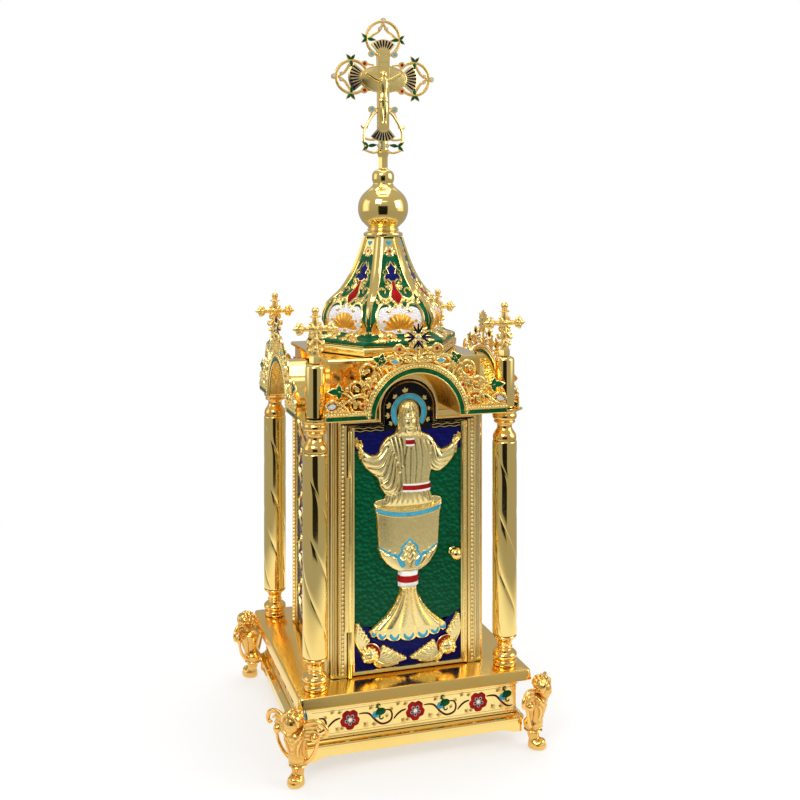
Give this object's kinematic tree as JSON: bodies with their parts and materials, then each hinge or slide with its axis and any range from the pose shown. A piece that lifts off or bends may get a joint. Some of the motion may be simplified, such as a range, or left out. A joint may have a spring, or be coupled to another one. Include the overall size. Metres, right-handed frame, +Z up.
{
  "type": "altar tabernacle",
  "caption": "Gilt altar tabernacle with a hinged enamelled door, corner columns, openwork arched gables, a ribbed tent roof, a ball and a standing cross.",
  "frame": {"origin": "middle of the plane under the four feet", "axes": "+Z up, the door faces -Y, +X to the viewer's right"},
  "size_m": [0.236, 0.236, 0.6],
  "materials": {
    "gilt_polished": "mirror-polished gilding",
    "gilt_cast": "cast and gilded",
    "gilt_engraved": "engraved and gilded",
    "steel_fixings": "plain steel",
    "enamel_green": "vitreous enamel on gilt brass"
  },
  "bodies": {
    "shrine": {"base_skirt": "gilt_polished", "base_slab": "gilt_polished", "cabinet_shell": "gilt_polished", "cabinet_floor": "gilt_polished", "roof_plate": "gilt_polished", "dome_moulding": "gilt_polished", "neck_ring": "gilt_polished", "ball": "gilt_polished", "stem_knop": "gilt_polished", "column_base_front_left": "gilt_polished", "column_shaft_front_left": "gilt_polished", "column_capital_front_left": "gilt_polished", "column_post_front_left": "gilt_polished", "column_base_front_right": "gilt_polished", "column_shaft_front_right": "gilt_polished", "column_capital_front_right": "gilt_polished", "column_post_front_right": "gilt_polished", "column_base_back_right": "gilt_polished", "column_shaft_back_right": "gilt_polished", "column_capital_back_right": "gilt_polished", "column_post_back_right": "gilt_polished", "column_base_back_left": "gilt_polished", "column_shaft_back_left": "gilt_polished", "column_capital_back_left": "gilt_polished", "column_post_back_left": "gilt_polished", "vault_front": "gilt_polished", "vault_back": "gilt_polished", "vault_left": "gilt_polished", "vault_right": "gilt_polished", "bottom_plate": "gilt_cast", "cross": "gilt_cast", "foot_front_left": "gilt_cast", "foot_front_right": "gilt_cast", "foot_back_right": "gilt_cast", "foot_back_left": "gilt_cast", "finial_front_left": "gilt_cast", "finial_front_right": "gilt_cast", "finial_back_right": "gilt_cast", "finial_back_left": "gilt_cast", "pediment_front": "gilt_cast", "pediment_back": "gilt_cast", "pediment_left": "gilt_cast", "pediment_right": "gilt_cast", "base_band": "gilt_engraved", "door_frame": "gilt_engraved", "panel_left": "gilt_engraved", "panel_right": "gilt_engraved", "panel_back": "gilt_engraved", "hinge_pin": "steel_fixings", "tie_rod_front_left": "steel_fixings", "tie_rod_front_right": "steel_fixings", "tie_rod_back_right": "steel_fixings", "tie_rod_back_left": "steel_fixings", "dome": "enamel_green"},
    "door": {"door_leaf": "enamel_green", "door_relief": "gilt_engraved"},
    "knob": {"door_knob": "gilt_polished", "latch_cam": "steel_fixings"}
  },
  "joints": [
    {"name": "door_hinge", "type": "hinge", "parent": "shrine", "child": "door", "pos_m": [-0.0494, -0.0714, 0.16], "axis": [0, 0, -1], "range_deg": [0, 110]},
    {"name": "knob_turn", "type": "hinge", "parent": "door", "child": "knob", "pos_m": [0.038, -0.07, 0.155], "axis": [0, -1, 0], "range_deg": [0, 90]}
  ]
}
